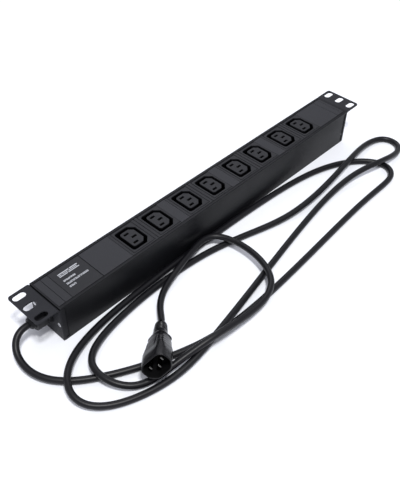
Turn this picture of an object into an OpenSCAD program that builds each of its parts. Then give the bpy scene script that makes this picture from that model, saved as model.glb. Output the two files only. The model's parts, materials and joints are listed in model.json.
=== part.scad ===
// Rack power strip, 1U, eight shrouded outlets in an aluminium extrusion, with a corded inlet plug.
// Frame: origin on the base under the middle of the body, +X along the body, +Z towards the outlets.

/* [Body] */
// Length over both end caps
body_l = 434; // [432:0.5:436]
// Width of the extrusion
body_w = 44.4; // [44.2:0.1:44.4]
// Height from the base to the lips
body_h = 43; // [43:0.5:44]
// Wall thickness of the extrusion
wall_t = 2; // [1.9:0.05:2.1]
// Width of each lip beside the faces
lip_w = 3; // [2.8:0.1:3.1]
// Thickness of the end caps
cap_t = 1.5; // [1.2:0.1:1.8]

/* [Rack ears] */
// Width over both ears
rack_w = 482.6; // [482:0.1:483]
// Sheet thickness of the brackets
ear_t = 1.5; // [1.4:0.1:1.6]
// Distance between the slots of the two ears
slot_pitch_x = 465.1; // [464.5:0.1:465.9]
// Distance between neighbouring slots in one ear
slot_pitch_y = 15.875; // [15.8:0.025:16]
// Length of a slot
slot_l = 13.5; // [12:0.5:13.5]
// Width of a slot
slot_w = 7.2; // [7:0.1:7.2]

/* [Outlets] */
// Length of a block of two outlets
block_l = 65; // [64:0.5:65.5]
// Distance from one block to the next
block_pitch = 77; // [76.5:0.5:77.5]
// Left end of the first block
block_x0 = -127.5; // [-128:0.5:-127]
// Length of the well round an outlet core
well_l = 22.7; // [22.4:0.1:23]
// Width of the well
well_w = 30; // [29.6:0.1:30.2]
// Length of the core
core_l = 15.4; // [15.2:0.1:15.6]
// Width of the core
core_w = 22; // [21.8:0.1:22.4]
// Depth of the well
well_d = 17; // [16.5:0.5:17]

/* [Cable gland] */
// Height of the gland's axis above the base
gland_z = 22; // [21:0.5:23]
// Size across flats of the gland's flange
gland_af = 19.5; // [19:0.5:20]
// Reach of the gland from the bracket
gland_reach = 19.5; // [19:0.5:20]

/* [Lead and plug] */
// Diameter of the lead
cord_d = 6.6; // [6.2:0.1:6.6]
// Length of the plug with its strain relief
plug_l = 67; // [66:0.5:68]
// Width of the plug's shroud
shroud_w = 27.6; // [27.4:0.1:27.8]
// Height of the plug's shroud
shroud_h = 20; // [19.8:0.1:20.2]
// Wall of the shroud
shroud_t = 1.8; // [1.7:0.1:1.8]

/* [Hidden] */

$fn = 48;
eps = 0.01;
black = [0.16, 0.16, 0.17];
dark = [0.2, 0.2, 0.21];
plastic = [0.11, 0.11, 0.12];

// Extrusion and the plane of the faces
cap_x = body_l / 2;
body_x = cap_x - cap_t;
side_y = body_w / 2;
inner_y = side_y - wall_t;
edge_r = 0.4;
lip_y = side_y - lip_w;
lip_t = 1.8;
lip_z = body_h - lip_t;
ledge_z = lip_z - 3;
ledge_t = 1.4;
ledge_reach = 1.6;
port_y = 18.4;
port_z = 20;
port_r = 3.2;
port_bore_r = 1.7;
tab_l = 3.5;
tab_t = 1.4;
tab_recess = 0.6;
tab_z = [3, 41];
rivet_z = 12;

// Face pieces slide between the lips and the ledges
fit_gap = 0.2;
joint_gap = 0.15;
face_y = lip_y - 0.6;
flange_y = inner_y - 0.3;
flange_z = [ledge_z + fit_gap, lip_z - fit_gap];
panel_wall = 1.6;

// Face pieces from left to right
filler_end = -208;
spacer_end = -200;
label_end = -164;
blocks_end = block_x0 + 3 * block_pitch + block_l;
blank_end = 203.5;
right_spacer_end = 212;
frame_l = 28;
frame_w = 35.6;
groove_w = 0.8;
groove_d = 0.6;
label_gap = 0.3;
// Printed bars on the label: low and high X, low and high Y
label_bars = [[-193.5, -171, 7.5, 12], [-194, -180.5, 0.5, 2.7],
              [-194, -169, -4.1, -1.9], [-194, -186.7, -8.5, -6.3]];
mark_h = 0.12;

// Outlets
outlet_at = [16.65, 51.65];
outlet_y = 0.5;
well_chamfer = 6;
well_corner_r = 2.9;
core_dx = 0.2;
core_chamfer = 4;
core_corner_r = 2.5;
tub_wall = 1.8;
floor_t = 2;
floor_z = body_h - well_d;
tub_z = floor_z - floor_t;
contact_y = 7;
contact_dx = 2;
slot_size = [5.8, 2.7];
slot_top = 2.5;
chamber = [6.4, 3.8];
bar_w = 4;
bar_t = 1;
bar_z = tub_z - 1.6;
leaf_t = 0.5;
leaf_gap = 1.6;
leaf_top = body_h - 4;
base_t = 5;
base_y = 12.5;
base_inset = 3;
bar_left = -139;
terminal_l = 8;
barrel_r = 1.9;
barrel_l = 8;
bar_mid_z = bar_z + bar_t / 2;

// Brackets
leg_x = cap_x + ear_t;
leg_z = 0.8;
ear_y = side_y;
ear_x = rack_w / 2;
ear_corner_r = 3;
bend_r = 3.3;
slot_x = slot_pitch_x / 2;
screw_r = 1.6;
screw_clear = 0.3;
screw_head_r = 2.3;
screw_head_h = 0.9;
screw_l = 14;
recess_l = 2.6;
recess_w = 0.6;
recess_d = 0.6;
gland_hole_r = 7.6;

// Gland, heights along its axis from the bracket
thread_r = 7.4;
collar_r = 7.6;
gland_bore_r = 5;
flange_h = 4;
collar_top = 9.5;
nut_top = 15;
sleeve_l = 12;
locknut_af = 20;
locknut_h = 4;
dome_r = 6.2;
mouth_r = 4.6;
exit_bore_r = cord_d / 2 + 0.2;

// Earth bond inside the body
stud_x = -165;
stud_r = 2;
sheet_t = 0.4;
ring_z = wall_t + 1;
ring_t = 0.8;
ring_r = 4;
ring_barrel = [5, 11];
lead_ring_turn = 130;
wire_r = 1.25;
sheath_end_x = -200;

// Plug pose: tail point, heading, rise above the floor and roll about its own axis
plug_tail = [-145.8, -74.2, 7.2];
plug_heading = -137;
plug_rise = 17.1;
plug_roll = -43.7;
relief_l = 23;
relief_r = [5.3, 7];
relief_lead = 1.5;
rib_start = 4;
rib_pitch = 3.2;
rib_count = 4;
rib_w = 1;
rib_depth = 0.7;
shroud_l = 18;
shroud_chamfer = 6;
shroud_corner_r = 3;
insert_t = 2;
pin = [2, 4];
pin_recess = 3.5;
pin_x = 7;
pin_y = -1.5;
pin_earth_y = 2.5;

// Lead: control points of a cubic B-spline from the gland's mouth to the plug's tail
exit_x = -leg_x - gland_reach;
floor_h = 3.5;
cord_route = [
    [exit_x, 0, gland_z], [-252, 0, 22], [-265, -11, 7.5], [-262, -60, 3.6],
    [-160, -112, floor_h], [-80, -127, floor_h], [148, -105, floor_h], [202, -113, floor_h],
    [217, -82, floor_h], [172, -41, floor_h], [80, -26, floor_h], [-110, -26, floor_h],
    [-200, -32, floor_h], [-246, -56, 14], [-259, -84, 8], [-237, -110, 3.2],
    [-175, -128, 3.2], [-117, -122, 15], [-66, -108, 3.2], [140, -66, 3.2],
    [190, -88, 17], [237, -90, 5], [259, -81, 3.4], [258, -55, 3.4],
    [222, -49, 5.5], [163, -63, 15], [50, -73, 3.2], [-36, -31, 3.4],
    [-203, -38, 3.4], [-232, -74, 14], [-213, -112, 3.5], [-172, -115, 6],
    [-128, -128, 23.6], [-80, -129, 10], [-33, -124, 11], [-15, -74, 12],
    [-25, -22, 10.6], [-68.4, -35.5, 15], [-121.3, -43.7, 3.45],
    [-141.606, -70.289, 5.436], plug_tail
];
rings_per_span = 2;
cord_sides = 10;
wire_sides = 8;

// ---------- swept tubes ----------

function basis(t) = let (t2 = t * t, t3 = t2 * t)
    [1 - 3 * t + 3 * t2 - t3, 4 - 6 * t2 + 3 * t3, 1 + 3 * t + 3 * t2 - 3 * t3, t3] / 6;

function extended(p) = let (n = len(p) - 1)
    concat([2 * p[0] - p[1]], p, [2 * p[n] - p[n - 1]]);

function on_span(q, i, t) = let (b = basis(t))
    b[0] * q[i] + b[1] * q[i + 1] + b[2] * q[i + 2] + b[3] * q[i + 3];

function spline(p, per_span) = let (q = extended(p))
    concat([for (i = [0:len(p) - 2]) for (k = [0:per_span - 1]) on_span(q, i, k / per_span)],
           [p[len(p) - 1]]);

function unit(v) = v / norm(v);

// Directions along a curve, which leaves its first point and reaches its last along the control polygon
function tangents(p, c) = let (m = len(p) - 1, n = len(c) - 1)
    concat([unit(p[1] - p[0])], [for (i = [1:n - 1]) unit(c[i + 1] - c[i - 1])], [unit(p[m] - p[m - 1])]);

function ring(centre, t, r, sides) = let (side = unit(cross(t, [0, 0, 1])), up = cross(side, t))
    [for (k = [0:sides - 1]) centre + r * (cos(360 * k / sides) * side + sin(360 * k / sides) * up)];

module tube(points, r, sides, per_span) {
    c = spline(points, per_span);
    t = tangents(points, c);
    n = len(c);
    verts = [for (i = [0:n - 1]) each ring(c[i], t[i], r, sides)];
    walls = [for (i = [0:n - 2]) for (k = [0:sides - 1]) let (j = (k + 1) % sides)
        [i * sides + k, i * sides + j, (i + 1) * sides + j, (i + 1) * sides + k]];
    first = [for (k = [0:sides - 1]) sides - 1 - k];
    last = [for (k = [0:sides - 1]) (n - 1) * sides + k];
    polyhedron(verts, concat([first], walls, [last]));
}

// ---------- helpers ----------

// Box from its low corner to its high corner
module span(low, high) {
    translate(low) cube(high - low);
}

// Rectangle standing on the base line with rounded corners
module rounded_rect(w, h, r) {
    translate([-w / 2 + r, 0]) square([w - 2 * r, h]);
    translate([-w / 2, r]) square([w, h - 2 * r]);
    for (x = [-1, 1], y = [r, h - r]) translate([x * (w / 2 - r), y]) circle(r);
}

// Extrusion of a profile in Y and Z along X
module along_x(x0, x1) {
    translate([x0, 0, 0]) rotate([90, 0, 90]) linear_extrude(x1 - x0) children();
}

// Right-hand copy of a left-hand shape
module right_hand() {
    mirror([1, 0, 0]) children();
}

function arc(centre, r, a0, a1, steps = 8) =
    [for (k = [0:steps]) let (a = a0 + (a1 - a0) * k / steps) centre + r * [cos(a), sin(a)]];

// Outline with chamfered corners on its +X side and rounded ones on its -X side
module keyed_outline(l, w, chamfer, r) {
    polygon(concat(arc([-l / 2 + r, -w / 2 + r], r, 180, 270, 4),
        [[l / 2 - chamfer, -w / 2], [l / 2, -w / 2 + chamfer],
         [l / 2, w / 2 - chamfer], [l / 2 - chamfer, w / 2]],
        arc([-l / 2 + r, w / 2 - r], r, 90, 180, 4)));
}

// Middle of outlet i of a block along X
function outlet_x(block, i) = block_x0 + block * block_pitch + outlet_at[i];

// Slot with round ends, along X
module slot_hole(l, w, depth) {
    for (x = [-1, 1]) translate([x * (l - w) / 2, 0, 0]) cylinder(h = depth, d = w);
    translate([-(l - w) / 2, -w / 2, 0]) cube([l - w, w, depth]);
}

// Gland axis: local +Z points out of the left end, from the bracket's outer face
module on_gland() {
    translate([-leg_x, 0, gland_z]) rotate([0, -90, 0]) children();
}

module hex(af, h) {
    cylinder(h = h, d = af / cos(30), $fn = 6);
}

// Plug axis: local +Z from the tail to the mouth
module on_plug() {
    translate(plug_tail) rotate([0, 90 - plug_rise, plug_heading]) rotate([0, 0, plug_roll]) children();
}

// ---------- body ----------

module housing_profile() {
    difference() {
        rounded_rect(body_w, body_h, edge_r);
        translate([-inner_y, wall_t]) square([2 * inner_y, lip_z - wall_t]);
        translate([-lip_y, wall_t]) square([2 * lip_y, body_h]);
    }
    for (s = [0, 1]) mirror([s, 0]) {
        translate([inner_y - ledge_reach, ledge_z - ledge_t]) square([ledge_reach + eps, ledge_t]);
        intersection() {
            translate([port_y, port_z]) circle(port_r);
            square([inner_y + eps, body_h]);
        }
    }
}

module housing() color(dark) {
    difference() {
        along_x(-body_x, body_x) housing_profile();
        for (y = [-port_y, port_y]) translate([-body_x - 1, y, port_z]) rotate([0, 90, 0])
            cylinder(h = body_l, r = port_bore_r);
        for (sx = [0, 1], sy = [0, 1]) mirror([sx, 0, 0]) mirror([0, sy, 0])
            span([body_x - tab_l, side_y - tab_t, tab_z[0]], [body_x + 1, side_y + 1, tab_z[1]]);
    }
}

module insulating_sheet() color("ivory") {
    difference() {
        span([-210, -18, wall_t], [210, 18, wall_t + sheet_t]);
        translate([stud_x, 0, 0]) cylinder(h = 10, r = 6);
    }
}

module end_cap(gland_hole) color(black) {
    difference() {
        union() {
            along_x(-cap_x, -body_x) rounded_rect(body_w, body_h, edge_r);
            for (s = [0, 1]) mirror([0, s, 0])
                span([-body_x - eps, side_y - tab_t, tab_z[0]],
                     [-body_x + tab_l, side_y - tab_recess, tab_z[1]]);
        }
        for (y = [-port_y, port_y]) translate([-cap_x - 1, y, port_z]) rotate([0, 90, 0])
            cylinder(h = cap_t + 2, r = port_bore_r + 0.2);
        if (gland_hole) translate([-cap_x - 1, 0, gland_z]) rotate([0, 90, 0])
            cylinder(h = cap_t + 2, r = gland_hole_r);
    }
}

module cap_rivets_right() color("silver") {
    for (s = [0, 1]) mirror([0, s, 0])
        translate([body_x - tab_l / 2, side_y - tab_recess, rivet_z]) rotate([-90, 0, 0])
            cylinder(h = 0.5, r1 = 1.2, r2 = 0.8);
}

// ---------- brackets ----------

// Leg, bend and ear in X and Z
module bracket_profile() {
    centre = [-cap_x - bend_r, body_h - bend_r];
    polygon(concat([[-leg_x, leg_z], [-cap_x, leg_z]], arc(centre, bend_r, 0, 90),
        [[-ear_x, body_h], [-ear_x, body_h - ear_t]], arc(centre, bend_r - ear_t, 90, 0)));
}

// Outline from above, with the outer corners rounded
module bracket_plan() {
    reach = ear_x - cap_x + 1;
    translate([-ear_x, -ear_y + ear_corner_r]) square([reach, 2 * (ear_y - ear_corner_r)]);
    translate([-ear_x + ear_corner_r, -ear_y]) square([reach - ear_corner_r, 2 * ear_y]);
    for (y = [-1, 1]) translate([-ear_x + ear_corner_r, y * (ear_y - ear_corner_r)]) circle(ear_corner_r);
}

module bracket(gland_hole) color(black) {
    difference() {
        intersection() {
            translate([0, ear_y, 0]) rotate([90, 0, 0]) linear_extrude(2 * ear_y) bracket_profile();
            translate([0, 0, -1]) linear_extrude(body_h + 2) bracket_plan();
        }
        for (y = [-port_y, port_y]) translate([-leg_x, y, port_z]) rotate([0, 90, 0]) {
            translate([0, 0, -1]) cylinder(h = ear_t + 2, r = screw_r + screw_clear);
            cylinder(h = screw_head_h, r1 = screw_head_r + 0.2, r2 = screw_r + screw_clear);
        }
        if (gland_hole) translate([-leg_x - 1, 0, gland_z]) rotate([0, 90, 0])
            cylinder(h = ear_t + 2, r = gland_hole_r);
        for (i = [-1:1]) translate([-slot_x, i * slot_pitch_y, body_h - ear_t - 1])
            slot_hole(slot_l, slot_w, ear_t + 2);
    }
}

// Countersunk screws, flush with the leg
module bracket_screws() color("silver") {
    for (y = [-port_y, port_y]) translate([-leg_x, y, port_z]) rotate([0, 90, 0]) difference() {
        union() {
            cylinder(h = screw_head_h, r1 = screw_head_r, r2 = screw_r);
            cylinder(h = screw_l, r = screw_r);
        }
        for (a = [0, 90]) rotate(a) translate([-recess_l / 2, -recess_w / 2, -1])
            cube([recess_l, recess_w, recess_d + 1]);
    }
}

// ---------- face pieces ----------

module face_bar(x0, x1) {
    span([x0 + joint_gap, -face_y, flange_z[1] - eps], [x1 - joint_gap, face_y, body_h]);
    span([x0 + joint_gap, -flange_y, flange_z[0]], [x1 - joint_gap, flange_y, flange_z[1]]);
}

module face_panel(x0, x1) {
    difference() {
        face_bar(x0, x1);
        span([x0 + panel_wall, -face_y + panel_wall, 0],
             [x1 - panel_wall, face_y - panel_wall, body_h - panel_wall]);
    }
}

// Plain bar in the gap after a block
module spacer_bar(block) color(plastic) {
    x0 = block_x0 + block * block_pitch + block_l;
    face_bar(x0, x0 + block_pitch - block_l);
}

module label_marks() color("lightgray") {
    for (b = label_bars) span([b[0], b[2], body_h], [b[1], b[3], body_h + mark_h]);
}

module outlet_cut(x) {
    translate([x, outlet_y, 0]) {
        translate([0, 0, floor_z]) linear_extrude(well_d + 1) difference() {
            keyed_outline(well_l, well_w, well_chamfer, well_corner_r);
            translate([core_dx, 0]) keyed_outline(core_l, core_w, core_chamfer, core_corner_r);
        }
        for (p = [[-contact_dx, -contact_y], [contact_dx, 0], [-contact_dx, contact_y]]) translate(p) {
            translate([-slot_size[0] / 2, -slot_size[1] / 2, body_h - slot_top - 1])
                cube([slot_size[0], slot_size[1], slot_top + 2]);
            translate([-chamber[0] / 2, -chamber[1] / 2, tub_z - 1])
                cube([chamber[0], chamber[1], body_h - slot_top - tub_z + 1]);
        }
        translate([0, 0, body_h - groove_d]) linear_extrude(1) difference() {
            square([frame_l, frame_w], center = true);
            square([frame_l - 2 * groove_w, frame_w - 2 * groove_w], center = true);
        }
    }
}

module outlet_block(block) color(plastic) {
    x0 = block_x0 + block * block_pitch;
    difference() {
        union() {
            face_bar(x0, x0 + block_l);
            for (i = [0, 1]) translate([outlet_x(block, i), outlet_y, 0])
                span([-well_l / 2 - tub_wall, -well_w / 2 - tub_wall, tub_z],
                     [well_l / 2 + tub_wall, well_w / 2 + tub_wall, flange_z[0] + 1]);
        }
        for (i = [0, 1]) outlet_cut(outlet_x(block, i));
        mid = (outlet_x(block, 0) + outlet_x(block, 1)) / 2;
        span([mid - groove_w / 2, -face_y - 1, body_h - groove_d],
             [mid + groove_w / 2, face_y + 1, body_h + 1]);
    }
}

// ---------- contacts and wiring ----------

module outlet_base(block) color("dimgray") {
    x0 = block_x0 + block * block_pitch + base_inset;
    x1 = x0 + block_l - 2 * base_inset;
    difference() {
        span([x0, -base_y, tub_z - base_t], [x1, base_y, tub_z]);
        for (y = [-contact_y, 0, contact_y])
            span([x0 - 1, y - bar_w / 2 - fit_gap, bar_z - fit_gap],
                 [x1 + 1, y + bar_w / 2 + fit_gap, tub_z + 1]);
    }
}

// Stamped strip with a pair of spring leaves under every outlet
module busbar(y, dx) color("goldenrod") {
    span([bar_left, y - bar_w / 2, bar_z], [outlet_x(3, 1) + 6, y + bar_w / 2, bar_z + bar_t]);
    for (block = [0:3], i = [0, 1], s = [0, 1])
        translate([outlet_x(block, i) + dx, y + outlet_y, 0]) mirror([0, s, 0])
            span([-2, leaf_gap / 2, bar_z + bar_t - eps], [2, leaf_gap / 2 + leaf_t, leaf_top]);
}

module crimp_terminals() color("silver") {
    for (y = [-contact_y, 0, contact_y]) difference() {
        union() {
            span([bar_left - 1, y - 3, bar_z - 1], [bar_left + terminal_l - 1, y + 3, bar_z + bar_t + 1]);
            translate([bar_left - 1 - barrel_l, y, bar_mid_z]) rotate([0, 90, 0])
                cylinder(h = barrel_l + eps, r = barrel_r - 0.4);
        }
        span([bar_left, y - bar_w / 2, bar_z], [bar_left + terminal_l + 1, y + bar_w / 2, bar_z + bar_t]);
    }
}

terminal_x = bar_left - 1 - barrel_l;
phase_route = [[sheath_end_x, 1.5, 22.9], [-194, 1.5, 22.9], [-180, 6, 21.5],
    [-165, contact_y, bar_mid_z], [-156, contact_y, bar_mid_z], [terminal_x, contact_y, bar_mid_z]];
bond_ring_z = ring_z + ring_t + barrel_r;
// Point on the axis of the lead's ring terminal
function ring_point(reach) =
    [stud_x + reach * cos(lead_ring_turn), reach * sin(lead_ring_turn), ring_z + barrel_r];

module wire_line() color("saddlebrown") {
    tube(phase_route, wire_r, wire_sides, 3);
}

module wire_neutral() color("steelblue") {
    mirror([0, 1, 0]) tube(phase_route, wire_r, wire_sides, 3);
}

module wire_earth() color("yellowgreen") {
    tube([[sheath_end_x, 0, 20.4], [-195, 0, 20.4], [-191, 4, 12], [-187, 12, 5.5],
          ring_point(ring_barrel[1] + 7), ring_point(ring_barrel[1])], wire_r, wire_sides, 3);
}

module bond_wire() color("yellowgreen") {
    tube([[stud_x - ring_barrel[1], 0, bond_ring_z], [-181, 0, bond_ring_z], [-187, 0, 9], [-186, 0, 17],
          [-174, 0, 20.5], [-158, 0, bar_mid_z], [terminal_x, 0, bar_mid_z]], wire_r, wire_sides, 3);
}

module earth_stud() color("silver") {
    translate([stud_x, 0, wall_t]) {
        cylinder(h = 1, r = 3.5);
        cylinder(h = 9, r = stud_r);
    }
}

module earth_nut() color("silver") {
    translate([stud_x, 0, ring_z + 2 * ring_t]) difference() {
        hex(7, 3.2);
        translate([0, 0, -1]) cylinder(h = 6, r = stud_r);
    }
}

module ring_terminal(level, turn) color("silver") {
    translate([stud_x, 0, ring_z + level * ring_t]) rotate(turn) {
        difference() {
            union() {
                cylinder(h = ring_t, r = ring_r);
                span([0, -1.5, 0], [ring_barrel[0] + 1, 1.5, ring_t]);
            }
            translate([0, 0, -1]) cylinder(h = 3, r = stud_r);
        }
        translate([ring_barrel[0], 0, barrel_r]) rotate([0, 90, 0])
            cylinder(h = ring_barrel[1] - ring_barrel[0], r = barrel_r - 0.4);
    }
}

// ---------- gland ----------

module gland_body() color(plastic) on_gland() {
    difference() {
        union() {
            intersection() {
                hex(gland_af, flange_h);
                cylinder(h = flange_h, r1 = gland_af / 2 + 0.6, r2 = gland_af / 2 + 0.2);
            }
            cylinder(h = collar_top, r = collar_r);
            translate([0, 0, -sleeve_l]) cylinder(h = sleeve_l + eps, r = thread_r);
        }
        translate([0, 0, -sleeve_l - 1]) cylinder(h = sleeve_l + collar_top + 2, r = gland_bore_r);
    }
}

module gland_locknut() color(plastic) on_gland() {
    translate([0, 0, -ear_t - cap_t - locknut_h]) difference() {
        hex(locknut_af, locknut_h);
        translate([0, 0, -1]) cylinder(h = locknut_h + 2, r = thread_r);
    }
}

module gland_seal() color("black") on_gland() {
    difference() {
        cylinder(h = collar_top, r = gland_bore_r);
        translate([0, 0, -1]) cylinder(h = collar_top + 2, r = cord_d / 2);
    }
}

module gland_nut() color(plastic) on_gland() {
    difference() {
        union() {
            translate([0, 0, flange_h + fit_gap]) intersection() {
                hex(gland_af - 1, nut_top - flange_h);
                cylinder(h = nut_top - flange_h, r1 = gland_af / 2 + 0.1, r2 = gland_af / 2 - 0.3);
            }
            rotate_extrude() polygon([
                [0, nut_top - 1], [dome_r, nut_top - 1], [dome_r, nut_top + 2],
                [mouth_r + 1, gland_reach - 0.8], [mouth_r, gland_reach], [0, gland_reach]]);
        }
        cylinder(h = collar_top + 0.7, r = collar_r);
        cylinder(h = gland_reach + 1, r = exit_bore_r);
    }
}

module cord_sheath_end() color(black) {
    translate([exit_x, 0, gland_z]) rotate([0, 90, 0]) cylinder(h = sheath_end_x - exit_x, d = cord_d);
}

// ---------- lead and plug ----------

module power_cord() color(black) tube(cord_route, cord_d / 2, cord_sides, rings_per_span);

function relief_at(z) = relief_r[0] + (relief_r[1] - relief_r[0]) * z / relief_l;

module plug_strain_relief() color(plastic) on_plug() {
    difference() {
        union() {
            cylinder(h = relief_lead, r1 = relief_r[0] - 0.6, r2 = relief_at(relief_lead));
            translate([0, 0, relief_lead])
                cylinder(h = relief_l - relief_lead, r1 = relief_at(relief_lead), r2 = relief_r[1]);
        }
        for (i = [0:rib_count - 1]) let (z = rib_start + i * rib_pitch) translate([0, 0, z]) difference() {
            cylinder(h = rib_w, r = relief_r[1] + 1);
            translate([0, 0, -1]) cylinder(h = rib_w + 2, r = relief_at(z) - rib_depth);
        }
    }
}

// Rounded section of the moulded body at a height along the plug
module plug_section(z, w, h, r) {
    translate([0, 0, z]) linear_extrude(eps) for (x = [-1, 1], y = [-1, 1])
        translate([x * (w / 2 - r), y * (h / 2 - r)]) circle(r, $fn = 32);
}

module plug_body() color(plastic) on_plug() {
    body_end = plug_l - shroud_l;
    hull() {
        plug_section(relief_l, 14, 13.8, 5);
        plug_section(relief_l + 6, 16.6, 15.8, 5);
    }
    hull() {
        plug_section(relief_l + 6, 16.6, 15.8, 5);
        plug_section(relief_l + 13, 18.8, 17.4, 6);
    }
    hull() {
        plug_section(relief_l + 13, 18.8, 17.4, 6);
        plug_section(body_end - eps, shroud_w - 1.6, shroud_h - 1, 6);
    }
}

module shroud_outline(inset) {
    rotate(90) keyed_outline(shroud_h - 2 * inset, shroud_w - 2 * inset,
                             shroud_chamfer - inset * 0.6, shroud_corner_r - inset * 0.6);
}

module plug_shroud() color(plastic) on_plug() {
    translate([0, 0, plug_l - shroud_l]) linear_extrude(shroud_l) difference() {
        shroud_outline(0);
        shroud_outline(shroud_t);
    }
}

module pin_at(x, y) {
    translate([x - pin[0] / 2, y - pin[1] / 2, plug_l - shroud_l])
        cube([pin[0], pin[1], shroud_l - pin_recess]);
}

module plug_insert() color("dimgray") on_plug() {
    difference() {
        translate([0, 0, plug_l - shroud_l]) linear_extrude(insert_t) shroud_outline(shroud_t);
        pin_at(-pin_x, pin_y);
        pin_at(pin_x, pin_y);
        pin_at(0, pin_earth_y);
    }
}

module plug_pin(x, y) color("silver") on_plug() pin_at(x, y);

// ---------- drawing ----------

housing();
insulating_sheet();
end_cap(true);  // end_cap_left
right_hand() end_cap(false);  // end_cap_right
cap_rivets_right();
bracket(true);  // bracket_left
right_hand() bracket(false);  // bracket_right
bracket_screws();  // bracket_screws_left
right_hand() bracket_screws();  // bracket_screws_right
color(plastic) face_bar(-body_x, filler_end);  // end_filler_left
color(plastic) face_bar(filler_end, spacer_end);  // spacer_left
color(plastic) face_panel(spacer_end, label_end);  // label_panel
label_marks();
color(plastic) face_panel(label_end + label_gap, block_x0);  // blank_panel_left
outlet_block(0);  // outlet_block_1
outlet_block(1);  // outlet_block_2
outlet_block(2);  // outlet_block_3
outlet_block(3);  // outlet_block_4
spacer_bar(0);  // spacer_bar_1
spacer_bar(1);  // spacer_bar_2
spacer_bar(2);  // spacer_bar_3
color(plastic) face_panel(blocks_end, blank_end);  // blank_panel_right
color(plastic) face_bar(blank_end, right_spacer_end);  // spacer_right
color(plastic) face_bar(right_spacer_end, body_x);  // end_filler_right
outlet_base(0);  // outlet_base_1
outlet_base(1);  // outlet_base_2
outlet_base(2);  // outlet_base_3
outlet_base(3);  // outlet_base_4
busbar(contact_y, -contact_dx);  // busbar_line
busbar(-contact_y, -contact_dx);  // busbar_neutral
busbar(0, contact_dx);  // busbar_earth
crimp_terminals();
wire_line();
wire_neutral();
wire_earth();
bond_wire();
earth_stud();
earth_nut();
ring_terminal(0, lead_ring_turn);  // ring_terminal_lead
ring_terminal(1, 180);  // ring_terminal_bond
gland_body();
gland_locknut();
gland_seal();
gland_nut();
cord_sheath_end();
power_cord();
plug_strain_relief();
plug_body();
plug_shroud();
plug_insert();
plug_pin(pin_x, pin_y);  // plug_pin_line
plug_pin(-pin_x, pin_y);  // plug_pin_neutral
plug_pin(0, pin_earth_y);  // plug_pin_earth
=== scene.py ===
"""Rack power strip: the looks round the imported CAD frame.

Metres, in the CAD frame: the origin lies under the middle of the body, +X runs along the body away
from the gland, and the outlets face +Z. Sizes of the plug and the label are in millimetres."""
import json
import math

import bmesh
import bpy
from mathutils import Matrix, Vector


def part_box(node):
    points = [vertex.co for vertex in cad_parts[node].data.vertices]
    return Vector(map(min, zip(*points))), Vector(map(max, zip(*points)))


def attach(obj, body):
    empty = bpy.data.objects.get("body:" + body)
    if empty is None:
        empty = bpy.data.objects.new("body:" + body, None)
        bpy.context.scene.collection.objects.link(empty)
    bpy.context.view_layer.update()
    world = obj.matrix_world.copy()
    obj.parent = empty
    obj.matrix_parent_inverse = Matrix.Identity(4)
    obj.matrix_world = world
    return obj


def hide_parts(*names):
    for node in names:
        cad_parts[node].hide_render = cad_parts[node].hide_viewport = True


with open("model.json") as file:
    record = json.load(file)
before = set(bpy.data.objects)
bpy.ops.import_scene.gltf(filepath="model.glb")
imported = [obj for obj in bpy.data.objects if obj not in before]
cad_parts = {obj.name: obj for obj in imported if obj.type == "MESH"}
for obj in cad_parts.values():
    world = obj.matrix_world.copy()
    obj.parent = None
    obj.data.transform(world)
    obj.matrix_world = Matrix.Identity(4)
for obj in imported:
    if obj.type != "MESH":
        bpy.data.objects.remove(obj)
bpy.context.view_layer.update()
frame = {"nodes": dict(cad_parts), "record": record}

MM = 0.001


# ---------- camera ----------

CAMERA_PLACE = (-0.41936, -0.37046, 0.50069)
CAMERA_HEADING = math.radians(42.444)
CAMERA_PITCH = math.radians(-44.708)
CAMERA_ROLL = math.radians(1.41)
CAMERA_LENS = 49.27
SENSOR_WIDTH = 36
FAR_CLIP = 20


def make_camera():
    """The camera stands in front of the left end and looks down along the strip."""
    flat = math.cos(CAMERA_PITCH)
    forward = Vector((flat * math.cos(CAMERA_HEADING), flat * math.sin(CAMERA_HEADING),
                      math.sin(CAMERA_PITCH)))
    level = Vector((math.sin(CAMERA_HEADING), -math.cos(CAMERA_HEADING), 0))
    over = level.cross(forward)
    right = math.cos(CAMERA_ROLL) * level + math.sin(CAMERA_ROLL) * over
    up = right.cross(forward)
    data = bpy.data.cameras.new("camera")
    data.lens = CAMERA_LENS
    data.sensor_width = SENSOR_WIDTH
    data.clip_end = FAR_CLIP
    camera = bpy.data.objects.new("camera", data)
    bpy.context.collection.objects.link(camera)
    turn = Matrix((right, up, -forward)).transposed().to_4x4()
    camera.matrix_world = Matrix.Translation(CAMERA_PLACE) @ turn
    bpy.context.scene.camera = camera


make_camera()


# ---------- node helpers ----------

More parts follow.
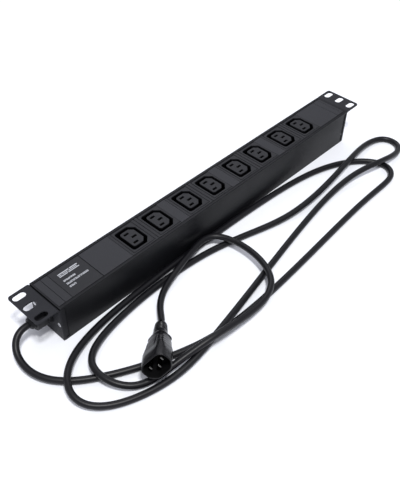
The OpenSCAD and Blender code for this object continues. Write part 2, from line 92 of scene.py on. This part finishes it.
class Nodes:
    """Short calls for building a node tree round one Principled shader."""

    def __init__(self, name):
        self.material = bpy.data.materials.new(name)
        self.material.use_nodes = True
        self.tree = self.material.node_tree
        self.tree.nodes.clear()
        out = self.tree.nodes.new("ShaderNodeOutputMaterial")
        self.shader = self.tree.nodes.new("ShaderNodeBsdfPrincipled")
        self.link(self.shader.outputs[0], out.inputs["Surface"])

    def new(self, kind, **settings):
        node = self.tree.nodes.new(kind)
        for key, value in settings.items():
            setattr(node, key, value)
        return node

    def link(self, source, target):
        self.tree.links.new(source, target)

    def feed(self, source, name):
        """Link a value to the shader's input of that name."""
        self.link(source, self.shader.inputs[name])

    def set(self, **values):
        """Fixed values for the shader's inputs, with _ for a space in a name."""
        for key, value in values.items():
            self.shader.inputs[key.replace("_", " ")].default_value = value

    def coords(self, scale=(1, 1, 1)):
        """Object coordinates, stretched."""
        source = self.new("ShaderNodeTexCoord")
        mapping = self.new("ShaderNodeMapping")
        mapping.inputs["Scale"].default_value = scale
        self.link(source.outputs["Object"], mapping.inputs["Vector"])
        return mapping.outputs["Vector"]

    def noise(self, where, scale, detail=3.0, rough=0.5):
        node = self.new("ShaderNodeTexNoise")
        node.inputs["Scale"].default_value = scale
        node.inputs["Detail"].default_value = detail
        node.inputs["Roughness"].default_value = rough
        self.link(where, node.inputs["Vector"])
        return node.outputs["Fac"]

    def cells(self, where, scale):
        node = self.new("ShaderNodeTexVoronoi")
        node.inputs["Scale"].default_value = scale
        self.link(where, node.inputs["Vector"])
        return node.outputs["Distance"]

    def between(self, value, low, high, from_low=0.3, from_high=0.7):
        """Map the value from its own range, by default that of a noise, to low and high."""
        node = self.new("ShaderNodeMapRange")
        node.inputs["From Min"].default_value = from_low
        node.inputs["From Max"].default_value = from_high
        node.inputs["To Min"].default_value = low
        node.inputs["To Max"].default_value = high
        self.link(value, node.inputs["Value"])
        return node.outputs["Result"]

    def blend(self, factor, dark, light):
        node = self.new("ShaderNodeMix", data_type="RGBA")
        node.inputs["A"].default_value = (*dark, 1)
        node.inputs["B"].default_value = (*light, 1)
        self.link(factor, node.inputs["Factor"])
        return node.outputs["Result"]

    def plus(self, base, added, share=1.0):
        """base + added x share"""
        node = self.new("ShaderNodeMath", operation="MULTIPLY_ADD")
        node.inputs[1].default_value = share
        self.link(added, node.inputs[0])
        self.link(base, node.inputs[2])
        return node.outputs[0]

    def bump(self, height, strength, distance):
        node = self.new("ShaderNodeBump")
        node.inputs["Strength"].default_value = strength
        node.inputs["Distance"].default_value = distance
        self.link(height, node.inputs["Height"])
        self.feed(node.outputs[0], "Normal")


# ---------- kinds of surface ----------

# Scales of the noises are in cycles per metre
TONE_DRIFT = 22.0
GRAIN_DETAIL = 4.0
GRAIN_ROUGH = 0.6
CELL_SCALE = 0.7                # cells for each cycle of the grain
CELL_HEIGHT = 0.6               # height of the cells against that of the grain
GRAIN_IN_TONE = 0.25
GRAIN_IN_GLOSS = 0.04
# Painted shade in the outlets' wells: a dark colour and low specular below a given height, fading in over
# this distance
PAINTED_SHADE_FADE = 1.2 * MM
PAINTED_SHADE_COLOUR = (0.0016, 0.0016, 0.0022)
PAINTED_SHADE_SPECULAR = 0.06

SCRATCHES = 900.0
SCRATCH_IN_GLOSS = 0.05
SCRATCH_STRENGTH = 0.12
SCRATCH_DEPTH = 0.05 * MM
TARNISH = 160.0

WIRE_STRIPES = 420.0
STRIPE_STRETCH = (1, 3, 3)
STRIPE_EDGE = (0.4, 0.41)
WIRE_GRAIN = 1500.0
WIRE_BUMP = 0.1
WIRE_BUMP_DEPTH = 0.1 * MM
WIRE_GLOSS = 0.42


def grained(name, dark, light, rough, grain_mm, depth, specular=0.5, stretch=(1, 1, 1), shade_below=None):
    """Moulded, painted or anodised surface: fine grain, with slow drift of tone and gloss.
    Below the given height, in metres, shade is painted in: the colour fades to a dark tone and the specular
    drops, standing in for the shade in the outlets' wells."""
    n = Nodes(name)
    where = n.coords(stretch)
    grain = n.noise(where, 1 / (grain_mm * MM), GRAIN_DETAIL, GRAIN_ROUGH)
    cells = n.cells(where, CELL_SCALE / (grain_mm * MM))
    slow = n.noise(n.coords(), TONE_DRIFT, GRAIN_DETAIL, GRAIN_ROUGH)
    tone = n.plus(n.between(slow, 0.0, 1 - GRAIN_IN_TONE), n.between(grain, 0.0, 1.0), GRAIN_IN_TONE)
    colour = n.blend(tone, dark, light)
    n.set(Specular_IOR_Level=specular)
    # Painted shade: darker colour and lower specular below the given height, where the wells lie in shade
    if shade_below:
        axes = n.new("ShaderNodeSeparateXYZ")
        n.link(n.coords(), axes.inputs[0])
        unshaded = n.between(axes.outputs["Z"], 0.0, 1.0, shade_below - PAINTED_SHADE_FADE, shade_below)
        painted_shade = n.new("ShaderNodeMix", data_type="RGBA")
        painted_shade.inputs["A"].default_value = (*PAINTED_SHADE_COLOUR, 1)
        n.link(unshaded, painted_shade.inputs["Factor"])
        n.link(colour, painted_shade.inputs["B"])
        colour = painted_shade.outputs["Result"]
        n.feed(n.between(unshaded, PAINTED_SHADE_SPECULAR, specular, 0.0, 1.0), "Specular IOR Level")
    n.feed(colour, "Base Color")
    gloss = n.plus(n.between(slow, *rough), n.between(grain, -GRAIN_IN_GLOSS, GRAIN_IN_GLOSS))
    n.feed(gloss, "Roughness")
    n.bump(n.plus(grain, cells, CELL_HEIGHT), depth, grain_mm * MM * 0.5)
    return n.material


def plated(name, dark, light, rough, stretch=(1, 1, 1)):
    """Bright metal with fine scratches and slight tarnish."""
    n = Nodes(name)
    scratches = n.noise(n.coords(stretch), SCRATCHES, rough=GRAIN_ROUGH)
    slow = n.noise(n.coords(), TARNISH)
    n.feed(n.blend(n.between(slow, 0.0, 1.0), dark, light), "Base Color")
    spread = n.between(scratches, -SCRATCH_IN_GLOSS, SCRATCH_IN_GLOSS)
    n.feed(n.plus(n.between(slow, *rough), spread), "Roughness")
    n.bump(scratches, SCRATCH_STRENGTH, SCRATCH_DEPTH)
    n.set(Metallic=1.0)
    return n.material


def insulation(name, ground, stripe=None):
    """Wire insulation, with stripes of a second colour when there is one."""
    n = Nodes(name)
    wave = n.noise(n.coords(STRIPE_STRETCH), WIRE_STRIPES, 1.0, 0.4)
    edge = n.between(wave, 0.0, 1.0, *STRIPE_EDGE)
    n.feed(n.blend(edge, stripe or ground, ground), "Base Color")
    n.bump(n.noise(n.coords(), WIRE_GRAIN, 2.0), WIRE_BUMP, WIRE_BUMP_DEPTH)
    n.set(Roughness=WIRE_GLOSS)
    return n.material


# ---------- materials, one per slot ----------

# Painted shade: below this height the outlets' moulding is drawn dark and less glossy, for the shade in
# their wells
PAINTED_SHADE_TOP = 42.3 * MM          # a little under the outlets' faces
DRAWN_LONG = (0.3, 1, 1)        # grain drawn out along the extrusion
ROLLED_LONG = (0.12, 1, 1)      # scratches along the brass strips

MATERIALS = {
    "extrusion": grained("anodised", (0.0035, 0.0037, 0.0046), (0.0065, 0.0068, 0.0083),
                         rough=(0.34, 0.42), grain_mm=0.32, depth=0.16, specular=0.15, stretch=DRAWN_LONG),
    "bracket": grained("powder_coat", (0.0112, 0.0117, 0.0142), (0.0175, 0.0182, 0.022),
                       rough=(0.5, 0.6), grain_mm=0.55, depth=0.5, specular=0.2),
    "end_cap": grained("cap_moulding", (0.009, 0.0093, 0.011), (0.014, 0.0145, 0.017),
                       rough=(0.5, 0.58), grain_mm=0.4, depth=0.3, specular=0.16),
    "face_plastic": grained("face_moulding", (0.0122, 0.0127, 0.0155), (0.0185, 0.0193, 0.0235),
                            rough=(0.48, 0.56), grain_mm=0.45, depth=0.3, specular=0.32),
    "label_panel": grained("label_moulding", (0.0092, 0.0096, 0.0115), (0.014, 0.0146, 0.0173),
                           rough=(0.46, 0.54), grain_mm=0.45, depth=0.26, specular=0.28),
    # The outlets' moulding has painted shade in its wells, below the given height
    "outlet_plastic": grained("outlet_moulding", (0.0095, 0.0099, 0.0118), (0.0145, 0.0151, 0.018),
                              rough=(0.48, 0.56), grain_mm=0.4, depth=0.26, specular=0.28,
                              shade_below=PAINTED_SHADE_TOP),
    "carrier": grained("carrier_moulding", (0.03, 0.03, 0.032), (0.05, 0.05, 0.052),
                       rough=(0.55, 0.65), grain_mm=0.5, depth=0.3),
    "gland_plastic": grained("nylon", (0.006, 0.0063, 0.0075), (0.011, 0.0114, 0.0135),
                             rough=(0.46, 0.54), grain_mm=0.5, depth=0.25, specular=0.25),
    "sheath": grained("sheath", (0.0023, 0.0023, 0.0033), (0.0048, 0.0048, 0.0067),
                      rough=(0.37, 0.45), grain_mm=0.5, depth=0.2, specular=0.28),
    "plug_moulding": grained("plug_skin", (0.0014, 0.0014, 0.0019), (0.0034, 0.0034, 0.0045),
                             rough=(0.25, 0.33), grain_mm=0.5, depth=0.16, specular=0.34),
    "plug_carrier": grained("plug_core", (0.002, 0.002, 0.002), (0.004, 0.004, 0.0045),
                            rough=(0.6, 0.7), grain_mm=0.4, depth=0.3, specular=0.1),
    "seal": grained("seal_rubber", (0.008, 0.008, 0.008), (0.015, 0.015, 0.015),
                    rough=(0.6, 0.7), grain_mm=0.5, depth=0.3, specular=0.3),
    "liner": grained("liner_sheet", (0.62, 0.58, 0.48), (0.74, 0.70, 0.60),
                     rough=(0.4, 0.5), grain_mm=2.0, depth=0.1),
    "marking": grained("print", (0.30, 0.31, 0.33), (0.46, 0.47, 0.50),
                       rough=(0.5, 0.6), grain_mm=0.3, depth=0.2),
    "screw": plated("bright_zinc", (0.55, 0.56, 0.58), (0.78, 0.78, 0.8), rough=(0.18, 0.3)),
    "rivet": plated("dull_aluminium", (0.10, 0.10, 0.105), (0.2, 0.2, 0.205), rough=(0.4, 0.5)),
    "brass_contact": plated("stamped_brass", (0.55, 0.38, 0.14), (0.78, 0.58, 0.27),
                            rough=(0.22, 0.36), stretch=ROLLED_LONG),
    "tinned": plated("tin", (0.5, 0.5, 0.49), (0.7, 0.7, 0.69), rough=(0.3, 0.42)),
    "zinc": plated("zinc", (0.42, 0.42, 0.40), (0.62, 0.61, 0.57), rough=(0.32, 0.45)),
    "plated_pin": plated("nickel", (0.10, 0.098, 0.094), (0.18, 0.177, 0.168), rough=(0.17, 0.25)),
    "wire_brown": insulation("brown_insulation", (0.16, 0.06, 0.025)),
    "wire_blue": insulation("blue_insulation", (0.03, 0.11, 0.36)),
    "wire_green": insulation("green_insulation", (0.08, 0.3, 0.04), (0.62, 0.55, 0.05)),
}
SLOT_OF = {row["node"]: row["material_slot"] for row in frame["record"]["subparts"]}


def dress(piece, slot):
    piece.data.materials.clear()
    piece.data.materials.append(MATERIALS[slot])


for name, obj in frame["nodes"].items():
    obj.data.materials.clear()
    obj.data.materials.append(MATERIALS[SLOT_OF[name]])


# ---------- the lead ----------

CORD_D = 6.6 * MM
# Control points of the lead's cubic B-spline, in millimetres: the same as in the CAD
CORD_ROUTE = [
    (-238, 0, 22), (-252, 0, 22), (-265, -11, 7.5), (-262, -60, 3.6),
    (-160, -112, 3.5), (-80, -127, 3.5), (148, -105, 3.5), (202, -113, 3.5),
    (217, -82, 3.5), (172, -41, 3.5), (80, -26, 3.5), (-110, -26, 3.5),
    (-200, -32, 3.5), (-246, -56, 14), (-259, -84, 8), (-237, -110, 3.2),
    (-175, -128, 3.2), (-117, -122, 15), (-66, -108, 3.2), (140, -66, 3.2),
    (190, -88, 17), (237, -90, 5), (259, -81, 3.4), (258, -55, 3.4),
    (222, -49, 5.5), (163, -63, 15), (50, -73, 3.2), (-36, -31, 3.4),
    (-203, -38, 3.4), (-232, -74, 14), (-213, -112, 3.5), (-172, -115, 6),
    (-128, -128, 23.6), (-80, -129, 10), (-33, -124, 11), (-15, -74, 12),
    (-25, -22, 10.6), (-68.4, -35.5, 15), (-121.3, -43.7, 3.45),
    (-141.606, -70.289, 5.436), (-145.8, -74.2, 7.2),
]
CORD_STEPS = 16                 # straight steps for each stretch of the spline
CORD_ROUNDNESS = 6


def spline(points, steps):
    """Uniform cubic B-spline that starts at the first point and ends at the last."""
    p = [Vector(q) * MM for q in points]
    p = [2 * p[0] - p[1]] + p + [2 * p[-1] - p[-2]]
    line = []
    for i in range(len(p) - 3):
        for k in range(steps):
            t = k / steps
            weights = ((1 - t) ** 3, 4 - 6 * t ** 2 + 3 * t ** 3,
                       1 + 3 * t + 3 * t ** 2 - 3 * t ** 3, t ** 3)
            line.append(sum((w * q for w, q in zip(weights, p[i:i + 4])), Vector()) / 6)
    line.append(p[-2])
    return line


def make_cord():
    """The lead as one open spline, and its length."""
    line = spline(CORD_ROUTE, CORD_STEPS)
    data = bpy.data.curves.new("lead", "CURVE")
    data.dimensions = "3D"
    data.bevel_depth = CORD_D / 2
    data.bevel_resolution = CORD_ROUNDNESS
    data.use_fill_caps = True
    path = data.splines.new("POLY")
    path.points.add(len(line) - 1)
    for point, co in zip(path.points, line):
        point.co = (*co, 1)
    path.use_smooth = True
    piece = bpy.data.objects.new("lead", data)
    bpy.context.collection.objects.link(piece)
    length = sum((b - a).length for a, b in zip(line, line[1:]))
    return piece, length


lead, lead_length = make_cord()
dress(lead, "sheath")
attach(lead, "root")
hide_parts("power_cord")


# ---------- mesh helpers ----------

SAME_POINT = 0.001 * MM
FLAT_ANGLE = math.radians(0.6)  # CAD triangles that meet at less than this join into one face
EDGE_ANGLE = math.radians(33)   # edges sharper than this are rounded
EDGE_SEGMENTS = 3
SMOOTH_TO = 35                  # degrees between faces that still shade as one


def finish_piece(name, bm, slot, replaced, smooth_to=SMOOTH_TO):
    """Turn the mesh into a piece with its material, which stands for the replaced CAD nodes."""
    mesh = bpy.data.meshes.new(name)
    bmesh.ops.recalc_face_normals(bm, faces=bm.faces)
    bm.to_mesh(mesh)
    bm.free()
    mesh.polygons.foreach_set("use_smooth", [True] * len(mesh.polygons))
    mesh.set_sharp_from_angle(angle=math.radians(smooth_to))
    piece = bpy.data.objects.new(name, mesh)
    bpy.context.collection.objects.link(piece)
    dress(piece, slot)
    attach(piece, "root")
    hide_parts(*replaced)
    return piece


def rounded_copy(node, edge_mm):
    """A copy of a CAD node with its sharp edges rounded off."""
    bm = bmesh.new()
    bm.from_mesh(frame["nodes"][node].data)
    bm.transform(frame["nodes"][node].matrix_world)
    bmesh.ops.remove_doubles(bm, verts=bm.verts, dist=SAME_POINT)
    bmesh.ops.dissolve_limit(bm, angle_limit=FLAT_ANGLE, verts=bm.verts, edges=bm.edges)
    piece = finish_piece(node + "_finish", bm, SLOT_OF[node], [node])
    bevel = piece.modifiers.new("edges", "BEVEL")
    bevel.width = edge_mm * MM
    bevel.segments = EDGE_SEGMENTS
    bevel.limit_method = "ANGLE"
    bevel.angle_limit = EDGE_ANGLE
    bevel.use_clamp_overlap = True
    bevel.harden_normals = True
    normals = piece.modifiers.new("normals", "WEIGHTED_NORMAL")
    normals.keep_sharp = True


# CAD nodes that show, with the rounding of their edges in millimetres
ROUNDED = {
    "housing": 0.25, "end_cap_left": 0.3, "end_cap_right": 0.3,
    "bracket_left": 0.3, "bracket_right": 0.3,
    "bracket_screws_left": 0.12, "bracket_screws_right": 0.12, "cap_rivets_right": 0.15,
    "end_filler_left": 0.2, "spacer_left": 0.2, "label_panel": 0.2, "blank_panel_left": 0.2,
    "outlet_block_1": 0.15, "outlet_block_2": 0.15, "outlet_block_3": 0.15, "outlet_block_4": 0.15,
    "spacer_bar_1": 0.2, "spacer_bar_2": 0.2, "spacer_bar_3": 0.2,
    "blank_panel_right": 0.2, "spacer_right": 0.2, "end_filler_right": 0.2,
    "gland_body": 0.3, "gland_nut": 0.3,
}
for node, edge in ROUNDED.items():
    rounded_copy(node, edge)


# ---------- plug, in millimetres: built along +Z from its tail, then put in its place in the CAD ----------

PLUG_TAIL = Vector((-145.8, -74.2, 7.2)) * MM
PLUG_HEADING = math.radians(-137)
PLUG_RISE = math.radians(17.1)
PLUG_ROLL = math.radians(-43.7)
PLUG_PLACE = (Matrix.Translation(PLUG_TAIL) @ Matrix.Rotation(PLUG_HEADING, 4, "Z")
              @ Matrix.Rotation(math.radians(90) - PLUG_RISE, 4, "Y") @ Matrix.Rotation(PLUG_ROLL, 4, "Z"))
PLUG_END = 67
SHELL_START = PLUG_END - 18
RELIEF_END = 23
SHELL_HALF_W = 13.8
SHELL_HALF_H = 10.0
SHELL_SQUARENESS = 16.0
SMALL_CUT = 0.7                 # cut of the two -Y corners against that of the +Y ones
AROUND = 144                    # points round the plug


def keyed_radius(angle, half_w, half_h, cut, squareness):
    """Distance from the axis to the outline: a rounded rectangle with its two +Y corners cut off,
    and the two others cut less."""
    x, y = math.cos(angle), math.sin(angle)
    reach = abs(x / half_w) ** squareness + abs(y / half_h) ** squareness
    if cut:
        own_cut = cut if y > 0 else cut * SMALL_CUT
        reach += ((abs(x) + abs(y)) / (half_w + half_h - own_cut)) ** squareness
    return reach ** (-1 / squareness)


def plug_ring(z, half_w, half_h, cut, squareness, dent=None):
    """One closed ring of the plug's skin; dent(x, y, z) pushes a point in towards the axis."""
    ring = []
    for k in range(AROUND):
        angle = 2 * math.pi * k / AROUND
        r = keyed_radius(angle, half_w, half_h, cut, squareness)
        if dent:
            r -= dent(r * math.cos(angle), r * math.sin(angle), z)
        ring.append(PLUG_PLACE @ (Vector((r * math.cos(angle), r * math.sin(angle), z)) * MM))
    return ring


def round_ring(z, radius):
    return plug_ring(z, radius, radius, 0, 2)


def shell_ring(z, inset, cut):
    """A ring of the shell's outline, moved in by the inset."""
    return plug_ring(z, SHELL_HALF_W - inset, SHELL_HALF_H - inset, cut, SHELL_SQUARENESS)


def loft(rings, closed=True):
    """A skin over the rings; closed puts a face on either end."""
    bm = bmesh.new()
    rows = [[bm.verts.new(co) for co in ring] for ring in rings]
    for low, high in zip(rows, rows[1:]):
        for k in range(len(low)):
            j = (k + 1) % len(low)
            bm.faces.new((low[k], low[j], high[j], high[k]))
    if closed:
        bm.faces.new(rows[0])
        bm.faces.new(rows[-1])
    return bm


def eased(stations, z):
    """Values of the stations at z, eased from one to the next."""
    for low, high in zip(stations, stations[1:]):
        if z <= high[0]:
            t = (z - low[0]) / (high[0] - low[0])
            t = t * t * (3 - 2 * t)
            return [a + (b - a) * t for a, b in zip(low[1:], high[1:])]
    return list(stations[-1][1:])


def hump(value, centre, half):
    """A smooth bump, one at its centre and zero past its half width."""
    t = abs(value - centre) / half
    return 0.0 if t >= 1 else (1 + math.cos(math.pi * t)) / 2


# Height, half width, half height, cut corner, squareness
BODY_STATIONS = [
    (RELIEF_END, 7.1, 7.0, 0.0, 2.3), (25.0, 8.6, 7.6, 0.0, 2.8), (28.0, 10.1, 8.3, 0.0, 3.6),
    (31.5, 10.2, 8.5, 1.6, 5.0), (35.5, 10.5, 8.8, 3.0, 8.0), (40.0, 11.4, 9.1, 4.4, 10.0),
    (45.0, 12.6, 9.5, 5.4, 14.0), (SHELL_START, 13.5, 9.8, 6.0, 20.0),
]
BODY_STEPS = 108

# The grip's grooves and panel; each pair is the middle and the half width of a hump
GROOVE_LONG = (41, 9)
GROOVE_DEPTH = 0.8
SIDE_GROOVE = (-1.2, 1.3)       # in y, after SIDE_SLANT of the distance from the middle plane is added
SIDE_SLANT = 0.5
SIDE_FROM_X = 6
BACK_GROOVE = (5.6, 1.2)        # in x, on both halves
BACK_SHARE = 0.7
PANEL_LONG = (38, 6)
PANEL_DEPTH = 0.35
PANEL_HALF_W = 5
PANEL_EDGE = 1.2
PANEL_FROM_Y = 5


def grip_dent(x, y, z):
    """A groove on each side of both -Y corners, and one shallow panel on the +Y side."""
    along = hump(z, *GROOVE_LONG) ** 0.4
    side = hump(abs(x) * SIDE_SLANT + y, *SIDE_GROOVE) * (abs(x) > SIDE_FROM_X)
    back = BACK_SHARE * hump(abs(x), *BACK_GROOVE) * (y < 0)
    across = 1 if abs(x) < PANEL_HALF_W else hump(abs(x), PANEL_HALF_W, PANEL_EDGE)
    panel = across * hump(z, *PANEL_LONG) ** 0.3
    return GROOVE_DEPTH * along * (side + back) + PANEL_DEPTH * panel * (y > PANEL_FROM_Y)


def make_plug_body():
    """The grip between the sleeve and the shell."""
    rings = []
    for k in range(BODY_STEPS + 1):
        z = RELIEF_END + (SHELL_START - RELIEF_END) * k / BODY_STEPS
        rings.append(plug_ring(z, *eased(BODY_STATIONS, z), grip_dent))
    finish_piece("plug_body_skin", loft(rings), "plug_moulding", ["plug_body"])


def make_plug_shell():
    """The shroud: outer wall, rounded rim and inner wall in one skin. Rows of height, inset and cut."""
    low, top = SHELL_START, PLUG_END
    outer = [(low, 0.3, 5.9), (low + 0.3, 0, 6.0), (low + 8, 0, 6.0)]
    rim = [(top - 0.8, 0, 6.0), (top - 0.45, 0.05, 6.0), (top - 0.1, 0.3, 5.9), (top, 0.6, 5.8),
           (top, 0.85, 5.7), (top - 0.3, 1.05, 5.6)]
    inner = [(top - 2.5, 1.5, 5.2), (low + 8, 1.6, 5.0), (low, 1.6, 5.0)]
    bm = loft([shell_ring(*row) for row in outer + rim + inner + outer[:1]], closed=False)
    bmesh.ops.remove_doubles(bm, verts=bm.verts, dist=SAME_POINT)
    finish_piece("plug_shell", bm, "plug_moulding", ["plug_shroud"], smooth_to=50)


def make_plug_cup():
    """The dark insert: the cavity's floor and a thin lining up its walls. Rows of height, inset and cut."""
    low, top = SHELL_START, PLUG_END
    outside = [(low + 0.02, 1.7, 4.9), (top - 2.6, 1.6, 5.1), (top - 0.45, 1.12, 5.5)]
    inside = [(top - 0.4, 1.2, 5.45), (top - 2.6, 1.75, 5.0), (low + 2.3, 1.9, 4.8), (low + 2.0, 2.3, 4.6)]
    bm = loft([shell_ring(*row) for row in outside + inside])
    finish_piece("plug_cup", bm, "plug_carrier", ["plug_insert"], smooth_to=50)


# The sleeve: height and radius of the tight neck, then a cone with a soft shoulder and fine rings
NECK = ((0, 2.9), (0, 3.4), (3.9, 3.45), (4.1, 4.9))
CONE_START = 4.3
CONE_R = 5.75
CONE_GROWS = 1.4
SHOULDER_LENGTH = 1.2
SHOULDER_DEPTH = 0.5
RINGS_START = 7.0
RINGS_END = 18.0
RING_PITCH = 2.75
RING_GROOVE = (1.2, 0.8)        # middle and half width of the groove within its pitch
RING_DEPTH = 0.9
SLEEVE_STEPS = 152


def sleeve_radius(z):
    past = z - CONE_START
    radius = CONE_R + CONE_GROWS * past / (RELIEF_END - CONE_START)
    radius -= SHOULDER_DEPTH * max(0, 1 - past / SHOULDER_LENGTH) ** 2
    if RINGS_START < z < RINGS_END:
        radius -= RING_DEPTH * hump((z - RINGS_START) % RING_PITCH, *RING_GROOVE) ** 0.6
    return radius


def make_strain_relief():
    """Sleeve: a tight start on the lead, a step, fine rings and a smooth collar at the body."""
    rings = [round_ring(z, radius) for z, radius in NECK]
    for k in range(SLEEVE_STEPS + 1):
        z = CONE_START + (RELIEF_END - CONE_START) * k / SLEEVE_STEPS
        rings.append(round_ring(z, sleeve_radius(z)))
    finish_piece("plug_relief", loft(rings), "plug_moulding", ["plug_strain_relief"], smooth_to=60)


PIN_ROUNDING = 0.8

make_plug_body()
make_plug_shell()
make_plug_cup()
make_strain_relief()
for node in ("plug_pin_line", "plug_pin_neutral", "plug_pin_earth"):
    rounded_copy(node, PIN_ROUNDING)


# ---------- print on the label: plain bars ----------

TITLE_X = -193.5
TEXT_X = -194
# Lower edge in y, height, left end, then the widths of bars and gaps in turn, in millimetres
LABEL_ROWS = [
    (7.5, 1.0, TITLE_X, (9.4, 0.9, 12.2)),
    (9.3, 0.8, TITLE_X, (3.6, 0.8, 6.2, 0.8, 9.6)),
    (10.9, 1.1, TITLE_X, (12.6, 0.9, 9.0)),
    (0.9, 0.9, TEXT_X, (2.4, 0.5, 4.6, 0.6, 1.6, 0.5, 3.3)),
    (2.1, 0.6, TEXT_X, (5.1, 0.6, 7.8)),
    (-3.9, 0.9, TEXT_X, (6.3, 0.6, 2.2, 0.5, 5.4, 0.7, 1.8, 0.5, 7.0)),
    (-2.5, 0.6, TEXT_X, (3.1, 0.6, 8.4, 0.6, 12.3)),
    (-8.3, 1.0, TEXT_X, (1.8, 0.5, 3.3, 0.5, 1.2)),
    (-6.9, 0.6, TEXT_X, (4.4, 0.5, 2.4)),
]
BAR_CORNER = 0.25 * MM


def make_label_marks():
    """Rows of plain bars, which stand in for print."""
    low_z, high_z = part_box("label_marks")[0][2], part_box("label_marks")[1][2]
    bm = bmesh.new()
    for y, height, x, widths in LABEL_ROWS:
        for k, width in enumerate(widths):
            if k % 2 == 0:
                size = Vector((width * MM, height * MM, high_z - low_z))
                centre = Vector(((x + width / 2) * MM, (y + height / 2) * MM, (low_z + high_z) / 2))
                place = Matrix.Translation(centre) @ Matrix.Diagonal((*size, 1))
                bmesh.ops.create_cube(bm, size=1, matrix=place)
            x += width
    upright = [e for e in bm.edges if abs((e.verts[0].co - e.verts[1].co).z) > SAME_POINT]
    bmesh.ops.bevel(bm, geom=upright, offset=BAR_CORNER, segments=2, affect="EDGES", profile=0.5)
    finish_piece("label_dashes", bm, "marking", ["label_marks"])


make_label_marks()


# ---------- light and floor ----------

SKY_COLOUR = (0.92, 0.925, 1.0)
SKY_STRENGTH = 0.6
SOFTBOX_PLACE = (0.80, 1.05, 1.45)
SOFTBOX_TARGET = (0, 0, 0)
SOFTBOX_SIDE = 1.3
SOFTBOX_RADIANCE = 1.4
SOFTBOX_COLOUR = (0.93, 0.935, 1.0)
KEY_PLACE = (-0.545, -0.828, 2.272)
KEY_TARGET = (-0.1, 0, 0)
KEY_SIDE = 0.36
KEY_RADIANCE = 118.0
KEY_COLOUR = (1, 1, 1)
FLOOR_HALF = 6
PAPER_DARK = (0.87, 0.885, 0.92)
PAPER_LIGHT = (0.89, 0.905, 0.94)
PAPER_DRIFT = 3.0
PAPER_ROUGHNESS = 0.9
PAPER_SPECULAR = 0.1


def area_light(name, place, target, side, radiance, colour):
    """A square lamp of the given radiance, whose watts are worked out from its area."""
    data = bpy.data.lights.new(name, "AREA")
    data.shape = "RECTANGLE"
    data.size = side
    data.size_y = side
    data.energy = radiance * math.pi * side * side
    data.color = colour
    light = bpy.data.objects.new(name, data)
    bpy.context.collection.objects.link(light)
    light.location = place
    light.rotation_mode = "QUATERNION"
    light.rotation_quaternion = (Vector(target) - Vector(place)).to_track_quat("-Z", "Y")


def make_light():
    world = bpy.data.worlds.new("studio")
    world.use_nodes = True
    background = world.node_tree.nodes["Background"]
    background.inputs["Color"].default_value = (*SKY_COLOUR, 1)
    background.inputs["Strength"].default_value = SKY_STRENGTH
    bpy.context.scene.world = world
    area_light("back_softbox", SOFTBOX_PLACE, SOFTBOX_TARGET, SOFTBOX_SIDE, SOFTBOX_RADIANCE, SOFTBOX_COLOUR)
    area_light("key", KEY_PLACE, KEY_TARGET, KEY_SIDE, KEY_RADIANCE, KEY_COLOUR)


def make_floor():
    """White paper under the strip."""
    bm = bmesh.new()
    bmesh.ops.create_grid(bm, x_segments=1, y_segments=1, size=FLOOR_HALF)
    mesh = bpy.data.meshes.new("floor")
    bm.to_mesh(mesh)
    bm.free()
    floor = bpy.data.objects.new("floor", mesh)
    bpy.context.collection.objects.link(floor)
    n = Nodes("paper")
    slow = n.noise(n.coords(), PAPER_DRIFT, 2.0)
    n.feed(n.blend(n.between(slow, 0, 1), PAPER_DARK, PAPER_LIGHT), "Base Color")
    n.set(Roughness=PAPER_ROUGHNESS, Specular_IOR_Level=PAPER_SPECULAR)
    floor.data.materials.append(n.material)


make_light()
make_floor()
bpy.context.scene.view_settings.view_transform = "Standard"
